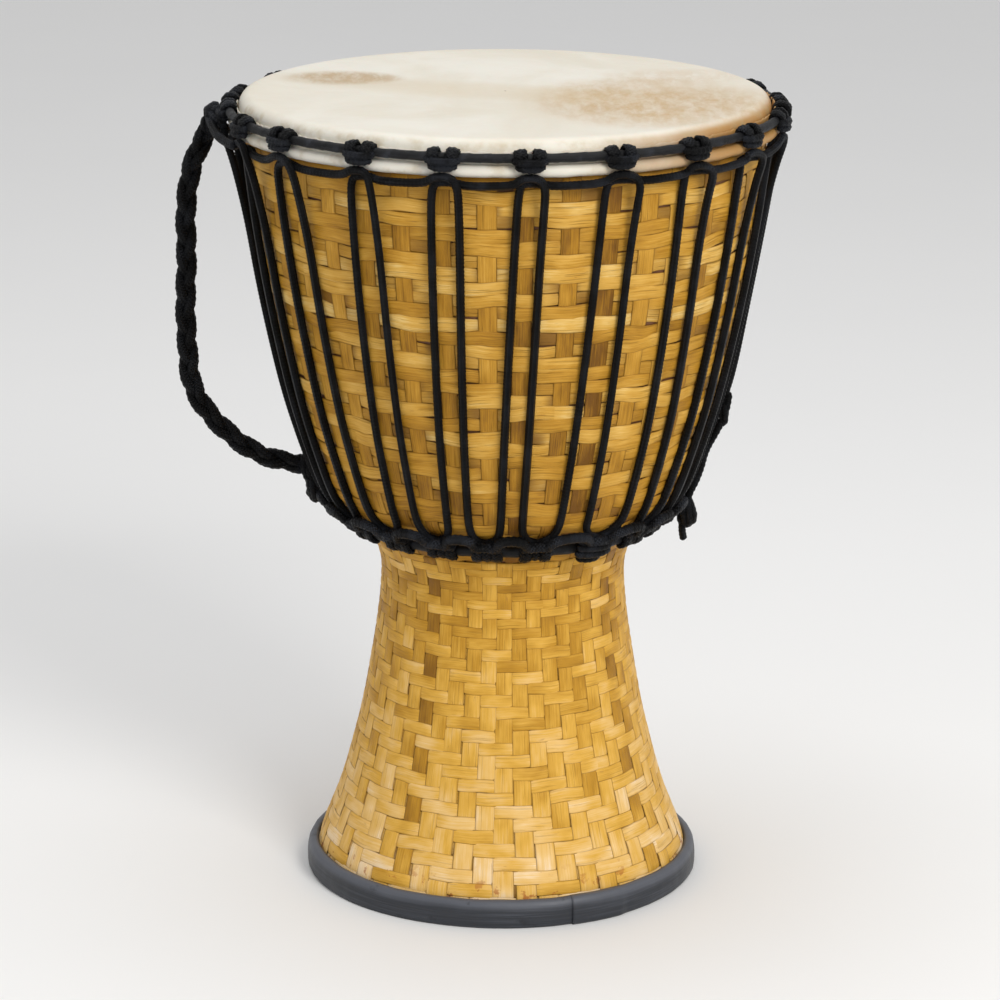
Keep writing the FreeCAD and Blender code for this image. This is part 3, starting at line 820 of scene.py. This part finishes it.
def waist_span(index):
    """The lower cord from one waist knot up over a pair and down to the next."""
    here = waist_angle(index - 1)
    there = waist_angle(index)
    left = cord_angle(index, -1, 252.0)
    right = cord_angle(index, 1, 252.0)
    return [
        at(here + 1.4, 106.6, 241.0), at(here + 3.2, 111.6, 243.8),
        at(left - 0.2, 117.4, 249.8), at(right + 0.2, 117.4, 250.0),
        at(there - 3.2, 111.6, 243.8), at(there - 1.4, 106.6, 241.0),
    ]

# A slack strand of the spare cord, from the crown to where it hangs free: angle, radius, height.
SPARE_ROUTE = [
    (86.2, 171.4, 478), (86.4, 168.2, 466), (86.5, 160.4, 418), (86.4, 151.8, 370),
    (86.4, 145, 332), (86.4, 139, 312), (86.2, 131.6, 294), (86.1, 127, 281),
]


def make_laced_cords():
    """The tuning cord's twenty spans and its spare strand, and the lower cord's bridges."""
    tuning = Builder()
    for index in range(KNOTS):
        lay_cord(tuning, rope_span(index), 1.3, CORD / 2, CORD / 2, ROPE_BRAID, index, round_ends=False)
    lay_cord(tuning, [at(*point) for point in SPARE_ROUTE], 1.3, CORD / 2, CORD / 2, ROPE_BRAID, KNOTS)
    tuning.make_cord("tuning_rope", "tuning_cord")
    waist = Builder()
    for index in range(KNOTS):
        lay_cord(waist, waist_span(index), 1.1, 3.1, 2.5, WAIST_BRAID, index)
    waist.make_cord("waist_rope", "waist_cord")


def placed(local, ring, angle):
    """Points given as (along the rim, outward, up) from a ring's line at an angle."""
    local = np.asarray(local, float)
    return at(angle, ring[0] + local[:, 1], ring[1] + local[:, 2]) \
        + at(angle + 90.0, 1.0, 0.0) * local[:, :1]


def hitch_turn(builder, ring, angle, side, lean, reach, thick, wide, start, stop, inner, tag):
    """One flat turn of cord over a ring, from start to stop degrees up from the outward side,

    put side to the right of the angle, and flattened where it would pass further in than inner.
    """
    sweep_angle = np.radians(np.linspace(start, stop, 34))
    radial = (reach + thick / 2) * np.cos(sweep_angle)
    radial = np.where(radial < inner, inner + 0.25 * (radial - inner), radial)
    up = (reach + thick / 2) * np.sin(sweep_angle)
    top = np.clip(np.sin(sweep_angle), 0, 1)
    local = np.stack([side + lean * top, radial, up], -1)
    line, along = spaced(placed(local, ring, angle), 0.8)
    away = unit(line - placed(np.array([[side, 0.0, 0.0]]), ring, angle))
    sweep(builder, line, along, away, wide / 2, thick / 2, HITCH_BRAID, tag, square=2.6)


# Bars across the front of a hitch.  At the crown: up, out, half length, thickness.
CROWN_BARS = ((-1.9, 6.4, 10.2, 4.4), (-5.4, 6.2, 8, 4.3))
WAIST_BAR = [(-9.6, 6, 3.2), (-6.6, 11, 5.4), (-2.4, 14.2, 6.4),
             (2.4, 14.2, 6.4), (6.6, 11, 5.4), (9.6, 6, 3.2)]
WAIST_TURNS = (-6.1, 0.2, 6.2)


def make_crown_knots():
    """Twenty hitches on the crown ring: two ears over the ring and a doubled bar across the front."""
    for index in range(KNOTS):
        angle = knot_angle(index)
        knot = Builder()
        wobble = rng.uniform(-1, 1, 8)
        for side in (-1, 1):
            hitch_turn(knot, CROWN_RING, angle, side=side * (5.0 + 0.3 * wobble[0]),
                       lean=side * (0.9 + 0.4 * wobble[1]), reach=2.9, thick=2.9 + 0.25 * wobble[2],
                       wide=7.4 + 0.5 * wobble[3 + (side > 0)], start=-62.0, stop=232.0, inner=-3.2,
                       tag=index * 3.1 + side)
        for up, out, span, thick in CROWN_BARS:
            bar = [(-span, 0.9, up + 0.9), (-span * 0.72, out - 1.1, up + 0.3), (-span * 0.3, out, up),
                   (span * 0.3, out, up - 0.1 + 0.3 * wobble[5]), (span * 0.72, out - 1.1, up + 0.3),
                   (span, 0.9, up + 0.9)]
            lay_cord(knot, placed(bar, CROWN_RING, angle), 0.8, thick / 2, thick / 2, CROWN_BAR_BRAID, index)
        number = "%02d" % (index + 1)
        knot.make_cord("crown_knot_" + number, "crown_loop_" + number)


def make_waist_knots():
    """Twenty hitches of the lower cord on the lower ring, joined as one piece."""
    knots = Builder()
    for index in range(KNOTS):
        angle = waist_angle(index)
        wobble = rng.uniform(-1, 1, 8)
        for turn, side in enumerate(WAIST_TURNS):
            hitch_turn(knots, LOWER_RING, angle, side=side + 0.4 * wobble[0], lean=0.8 * wobble[1],
                       reach=3.3 - 0.5 * (turn == 1), thick=3.5 + 0.3 * wobble[2 + turn],
                       wide=6.9 + 0.4 * wobble[5 + (turn > 0)], start=-118.0, stop=150.0, inner=-30.0,
                       tag=index * 2.3 + side)
        lay_cord(knots, placed(WAIST_BAR, LOWER_RING, angle), 0.8, 3.2, 2.6, WAIST_BAR_BRAID, index)
    knots.make_cord("waist_hitches", "waist_knots")


TAPE_ROWS = 900
TAPE_SEGS = 18
TAPE_LAP = 0.3


def wound_ring(name, ring, radius, turns, material, node, uneven):
    """Cloth tape wound on a ring, each turn over the one before."""
    angle = round_angles(TAPE_ROWS)
    turn = np.arange(TAPE_SEGS) * math.tau / TAPE_SEGS
    phase = (angle[:, None] / 360.0 * turns - turn[None] / (math.tau)) % 1.0
    lap = TAPE_LAP * phase ** 2 - 0.12
    wander = uneven * ripple(angle, 3 + turns, (13, 22, 37, 51))[:, None]
    size = radius + lap + wander
    points = at(angle[:, None], ring[0] + size * np.cos(turn)[None], ring[1] + size * np.sin(turn)[None])
    lay = stacked(np.radians(angle)[:, None] * ring[0], turn[None], 1.0)
    builder = Builder()
    builder.grid(points, lay, stacked(0.5, phase, 1.0), closed_along=True)
    builder.make(name, material, node, flip=True)


# --- skin and rubber ---

HEAD_FLAT = 156.0  # radius of the flat head
HEAD_TOP = 507.95
EDGE_CENTRE = (158.0, 500.5)
EDGE_ROUND = 7.5
COLLAR = [(165.5, 498.5, 0.1), (165.6, 496, 0.4), (166, 493.6, 0.8)]
FLESH_RING = (168.4, 489.8)
ROLL = 3.7  # radius of the skin rolled round the flesh ring
FLAP_FOOT = 492.2
FLAP_TOP = 500.3
FLAP_RADIUS = 166.55
FLAP_HALF = 0.3  # half its thickness


def skin_profile():
    """Radius, height and slackness (1 in the roll) from the centre outwards."""
    profile = [(r, HEAD_TOP, 0.0) for r in np.concatenate([[0.6], np.linspace(6, HEAD_FLAT, 26)])]
    for step in np.radians(np.linspace(8, 90, 8)):
        profile.append((EDGE_CENTRE[0] + EDGE_ROUND * math.sin(step),
                        EDGE_CENTRE[1] + EDGE_ROUND * math.cos(step), 0.0))
    profile += COLLAR
    for step in np.radians(np.linspace(110, -170, 18)):
        profile.append((FLESH_RING[0] + ROLL * math.cos(step), FLESH_RING[1] + ROLL * math.sin(step), 1))
    return np.array(profile).T


def make_head(builder):
    """The head, its round edge and collar, and the roll, pulled in under each crown knot."""
    angle = round_angles(480)
    radius, height, loose = skin_profile()
    pull = np.zeros(len(angle))
    for index in range(KNOTS):
        gap = (angle - knot_angle(index) + 180) % 360 - 180
        pull += np.exp(-(gap / 2.6) ** 2)
    lay = stacked(np.radians(angle)[:, None] * 165, height[None], 0.0)
    head = np.clip(radius[None] / HEAD_FLAT, 0, 1)
    dish = 0.25 * np.sin(np.radians(angle) * 2)[:, None] * head ** 2
    dish = dish + 0.12 * ripple(angle, 4, (5, 9))[:, None] * head ** 4
    wrinkle = ripple(angle, 41, (31, 47, 66, 90))[:, None]
    grow = 1 + loose * (0.05 * wrinkle - 0.07 * pull[:, None] + 0.03 * ripple(angle, 8, (20, 40))[:, None])
    rolled = loose >= 1.0
    ring_r, ring_z = FLESH_RING
    radius = np.where(rolled, ring_r + (radius - ring_r) * grow, radius + loose * 0.15 * wrinkle)
    height = np.where(rolled, ring_z + (height - ring_z) * grow, height)
    height = height - np.where(loose > 0, 0.0, np.abs(dish) * 0.8)
    builder.grid(at(angle[:, None], radius, height), lay, PLAIN_WEAR, closed_along=True,
                 closed_round=False, capped=False)


def make_flap(builder):
    """The skin's trimmed edge behind the crown ring, higher and more open on the right."""
    angle = round_angles(720)
    side = np.clip((np.sin(np.radians(angle + 10)) + 0.5) / 1.2, 0.0, 1.0)
    ragged = 0.55 * ripple(angle, 6, (23, 41, 67, 103)) + 0.35 * ripple(angle, 12, (151, 197))
    top = FLAP_TOP + 1.7 * side + ragged
    stack = np.linspace(0, 1, 6)
    height = FLAP_FOOT + (top[:, None] - FLAP_FOOT) * stack[None]
    lean = 1.2 * stack[None] ** 3 * (0.35 + 0.65 * side[:, None])
    outwards = FLAP_RADIUS + 0.2 * ripple(angle, 14, (29, 53))[:, None] + lean
    ring = np.concatenate([at(angle[:, None], outwards + FLAP_HALF, height),
                           at(angle[:, None], outwards - FLAP_HALF, height)[:, ::-1]], 1)
    builder.grid(ring, np.zeros(3), PLAIN_WEAR, closed_along=True)


def make_skin(material):
    builder = Builder()
    make_head(builder)
    make_flap(builder)
    skin = builder.make("goatskin_head", material, "drum_skin", flip=True)


RUBBER_OUTLINE = np.array([  # radius and height round the strip's section
    (121.9, 1.2), (123.2, 0.25), (124.9, 0.05), (126, 1.4), (126.35, 4), (126.35, 7.5), (126.1, 11),
    (125.5, 14.2), (124.4, 16.3), (123, 17.4), (121.2, 17.7), (119.6, 17.2), (119.2, 15.2),
    (120.6, 9), (121.6, 4)])
RUBBER_SEAM = 21.0  # angle of the lap's edge
RUBBER_TURN = 376.0  # degrees round: the end lies over the start
RUBBER_LAP = 1.35
RUBBER_LAP_LENGTH = 19.0
RUBBER_REACH = 127.9
RUBBER_LOWEST, RUBBER_HIGHEST = 0.05, 19.0


def make_rubber(material):
    """Strip of tyre rubber round the foot, one end lapped over the other at the seam."""
    angle = np.linspace(RUBBER_SEAM, RUBBER_SEAM + RUBBER_TURN, 660)
    across, up = RUBBER_OUTLINE.T
    lap = np.clip((RUBBER_SEAM + RUBBER_LAP_LENGTH - angle) / 4.0, 0, 1)
    lap = RUBBER_LAP * lap * lap * (3 - 2 * lap)
    tucked = np.clip((angle - (RUBBER_SEAM + 354.0)) / 6.0, 0, 1)
    wander = 0.3 * ripple(angle, 5, (4, 9, 17, 33)) + 0.1 * ripple(angle, 6, (55, 83))
    swell = lap[:, None] + 0.6 * wander[:, None] - 0.35 * tucked[:, None]
    radius = np.minimum(across[None] + np.where(across[None] > 121, 1.0, 0.3) * swell, RUBBER_REACH)
    rise = 0.45 * ripple(angle, 9, (3, 7, 15, 29))[:, None] + 0.3 * lap[:, None]
    height = np.clip(up[None] + np.where(up[None] > 9, 1.0, 0.0) * rise, RUBBER_LOWEST, RUBBER_HIGHEST)
    points = at(angle[:, None], radius, height)
    lay = stacked(np.radians(angle)[:, None] * 125, up[None], 1.0)
    builder = Builder()
    builder.grid(points[:, ::-1], lay[:, ::-1], PLAIN_WEAR)
    builder.make("rubber_foot_strip", material, "foot_rubber", flip=True)


# --- the strap and the surplus cord ---

STRAP_ROUTE = [  # metres
    (-0.1815, 0.0, 0.4875), (-0.19, 0.0, 0.4745), (-0.197, 0.0, 0.456), (-0.2004, 0.0, 0.431),
    (-0.1996, 0.0, 0.401), (-0.2014, 0.0, 0.37), (-0.2002, 0.0, 0.341), (-0.1986, 0.0, 0.3195),
    (-0.1905, 0.0, 0.3035), (-0.178, 0.0, 0.2895), (-0.163, 0.0, 0.277), (-0.1475, 0.0, 0.2698),
    (-0.1324, 0.0, 0.2675),
]
STRAP_PLAIT = 58.0  # length of one turn of the plait
STRAP_SWING = (3.5, 2.0)  # how far its strands swing across and through
STRAP_INTO = 6.0  # how far it runs on into the knots
TAIL_ROUTE = [  # angle, and radius and height in metres
    (86.4, 0.1429, 0.318), (86.5, 0.1418, 0.306), (86.3, 0.1359, 0.293), (86, 0.1286, 0.28),
    (86.1, 0.1261, 0.2685), (86.3, 0.1226, 0.2585), (86.2, 0.1184, 0.2505), (86.2, 0.118, 0.246),
]
STUB_ROUTE = [(86.2, 114.6, 231), (86.2, 114.4, 226), (86.6, 115.6, 221)]
TAIL_HITCH = 16  # where it is hitched round the tuning cord


def make_strap():
    """Three strands plaited flat along the strap's route and into the knots at its ends."""
    route = nurbs_line(STRAP_ROUTE, 16)
    core = route / MM
    head = core[0] + (core[0] - core[3]) / np.linalg.norm(core[0] - core[3]) * STRAP_INTO
    foot = core[-1] + (core[-1] - core[-4]) / np.linalg.norm(core[-1] - core[-4]) * STRAP_INTO
    line, along = spaced(np.concatenate([[head], core, [foot]]), 1.1)
    depth = np.broadcast_to(np.array([0.0, 1.0, 0.0]), line.shape)
    wide = np.cross(depth, unit(np.gradient(line, axis=0)))
    strap = Builder()
    for strand in range(3):
        phase = math.tau * (along / STRAP_PLAIT + strand / 3.0)
        centre = line + wide * (STRAP_SWING[0] * np.sin(phase))[:, None] \
            + depth * (STRAP_SWING[1] * np.sin(2 * phase))[:, None]
        toward = unit(centre - line + np.array([0.0, -1.5, 0.0]))
        sweep(strap, centre, along, toward, 3.3, 3.05, HITCH_BRAID, strand)
    piece = strap.make("strap_plait", black_cord, "handle_strap", body="handle")


def lump(builder, centre, radii, turns, thick, tag, tilt=0.0):
    """A tight knot: a few crossing turns of cord about a point."""
    centre, radii = np.array(centre, float), np.array(radii, float)
    for turn in range(turns):
        spin = math.pi * turn / turns + tilt
        step = np.linspace(0, math.tau, 40)[:-1]
        ring = np.stack([np.cos(step) * math.cos(spin), np.cos(step) * math.sin(spin), np.sin(step)], -1)
        ring = ring + 0.16 * np.stack([np.sin(2 * step), np.cos(3 * step), np.cos(2 * step + spin)], -1)
        line = centre + ring * (radii - thick * 0.45)
        line, along = spaced(np.concatenate([line, line[:1]]), 0.9)
        sweep(builder, line, along, unit(line - centre), thick / 2, thick / 2, LUMP_BRAID, tag + turn)


TOP_TIES = [
    [(-184, -3, 490), (-182, -8, 495.5), (-177, -9, 498), (-171, -12, 497.5)],
    [(-185, 0, 491), (-183.5, -9, 490.5), (-180.5, -21, 487.5), (-176.5, -37, 485.2),
     (-170, -53, 484.2), (-164, -66, 484.6)],
    [(-184, -4, 495), (-181, -11, 493), (-177.5, -17.5, 491), (-172.5, -22, 489)],
]
LOW_TIES = [
    [(-126.5, 2, 272.5), (-127, -4.5, 269.5), (-126.4, -5, 262), (-122.5, -3, 255)],
    [(-125.8, 4.5, 270), (-126.2, 5, 263), (-123, 2, 256), (-119, -1, 250)],
]
OUT_LEFT = (-1, 0, 0)


def make_strap_ends():
    """What ties the strap on: a turn over the crown ring and a knob, and a knot below."""
    turn = Builder()
    hitch_turn(turn, CROWN_RING, -93.5, side=0.0, lean=0.0, reach=3.0, thick=3.4, wide=7.2,
               start=-150.0, stop=195.0, inner=-3.2, tag=1.0)
    turn.make_cord("strap_top_turn", "handle_top_lashing")
    knob = Builder()
    lump(knob, (-180.8, -3.0, 492.2), (6.6, 6.8, 8.2), 4, 5.0, 2.0)
    lump(knob, (-183.8, -1.0, 485.6), (6.0, 6.4, 6.8), 3, 5.0, 12.0, 0.5)
    for number, tie in enumerate(TOP_TIES):
        lay_cord(knob, tie, 0.9, 2.7, 2.6, TIE_BRAID, 5.0 + number)
    knob.make_cord("strap_top_knob", "handle_top_knob")
    low = Builder()
    lump(low, (-119.6, -4.0, 253.0), (6.0, 7.4, 9.6), 4, 5.0, 7.0, 0.5)
    lump(low, (-122.4, -2.0, 263.0), (4.6, 6.6, 6.6), 3, 4.4, 9.0, 0.2)
    for number, tie in enumerate(LOW_TIES):
        lay_cord(low, tie, 0.9, 2.5, 2.5, TIE_BRAID, 8.0 + number, away=OUT_LEFT)
    low.make_cord("strap_low_knot", "handle_low_lashing")


CROWN_TIE = 86.6  # angle
WAIST_TIE = 1  # which waist knot
WAIST_TIE_BARS = ((5.8, 12.4, 12), (1.4, 11.6, 12.5), (-3.2, 8.6, 12.5), (-7.6, 3, 8))


def make_ties():
    """Where the ring's wrap and both cords are tied off."""
    crown = Builder()
    hitch_turn(crown, CROWN_RING, CROWN_TIE, side=-1.5, lean=-0.5, reach=3.0, thick=3.6, wide=7.0,
               start=-150.0, stop=200.0, inner=-3.2, tag=2.0)
    crown.make_cord("crown_tie_turn", "crown_tie")
    waist = Builder()
    for up, out, span in WAIST_TIE_BARS:
        bar = [(-span, out - 4.5, up + 0.5), (-span * 0.6, out - 0.8, up), (0.0, out, up - 0.3),
               (span * 0.6, out - 0.8, up), (span, out - 4.5, up + 0.6)]
        lay_cord(waist, placed(bar, LOWER_RING, waist_angle(WAIST_TIE)), 0.9, 2.5, 2.4, LUMP_BRAID, up)
    waist.make_cord("waist_tie_knot", "waist_tie")


def make_surplus():
    """The tuning cord's spare end hanging free, its stopper knot and a short bare end."""
    points = [tuple(at(*point)) for point in TAIL_ROUTE]
    route = nurbs_line(points, 16)
    line, along = spaced(route / MM, 0.9)
    rope = Builder()
    sweep(rope, line, along, outward(line), 2.6, 2.4, TAIL_BRAID, 1.0)
    hitch = line[TAIL_HITCH] - outward(line)[TAIL_HITCH] * 0.6
    lump(rope, hitch, (3.4, 4.2, 7.5), 2, 3.6, 3.0, 0.4)
    tail = rope.make_cord("surplus_rope", "surplus_cord")
    knot = Builder()
    lump(knot, at(86.2, 117.6, 238.6), (6.4, 6.8, 9.4), 4, 4.8, 4.0, 1.0)
    knot_piece = knot.make_cord("surplus_end_knot", "surplus_knot")
    stub = Builder()
    line, along = spaced(nurbs_line([at(*point) for point in STUB_ROUTE]), 0.9)
    flare = 2.6 + 0.9 * (along / along[-1]) ** 2
    sweep(stub, line, along, outward(line), flare, 2.2, BARE_BRAID, 9.0, round_ends=False)
    stub_piece = stub.make_cord("surplus_bare_end", "surplus_end")


# --- everything ---

def make_floor():
    mesh = bpy.data.meshes.new("floor")
    corners = [(x * FLOOR_HALF, y * FLOOR_HALF, 0) for x, y in ((-1, -1), (1, -1), (1, 1), (-1, 1))]
    mesh.from_pydata(corners, [], [(0, 1, 2, 3)])
    mesh.materials.append(floor_material())
    added("floor", mesh)


def dress(node, material):
    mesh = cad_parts[node].data
    mesh.materials.clear()
    mesh.materials.append(material)


make_camera()
make_studio()
make_floor()
black_cord = cord_material()
black_wrap = cloth_material()
dress("shell", wood_material())
steel = steel_material()
for ring_node in ("flesh_ring", "crown_ring", "lower_ring"):
    dress(ring_node, steel)
make_covers()
make_laced_cords()
make_crown_knots()
make_waist_knots()
wound_ring("crown_ring_tape", CROWN_RING, 2.8, 95, black_wrap, "crown_ring_wrap", 0.16)
wound_ring("lower_ring_tape", LOWER_RING, 3.8, 56, black_wrap, "lower_ring_wrap", 0.14)
make_skin(skin_material())
make_rubber(rubber_material())
make_strap()
make_strap_ends()
make_ties()
make_surplus()
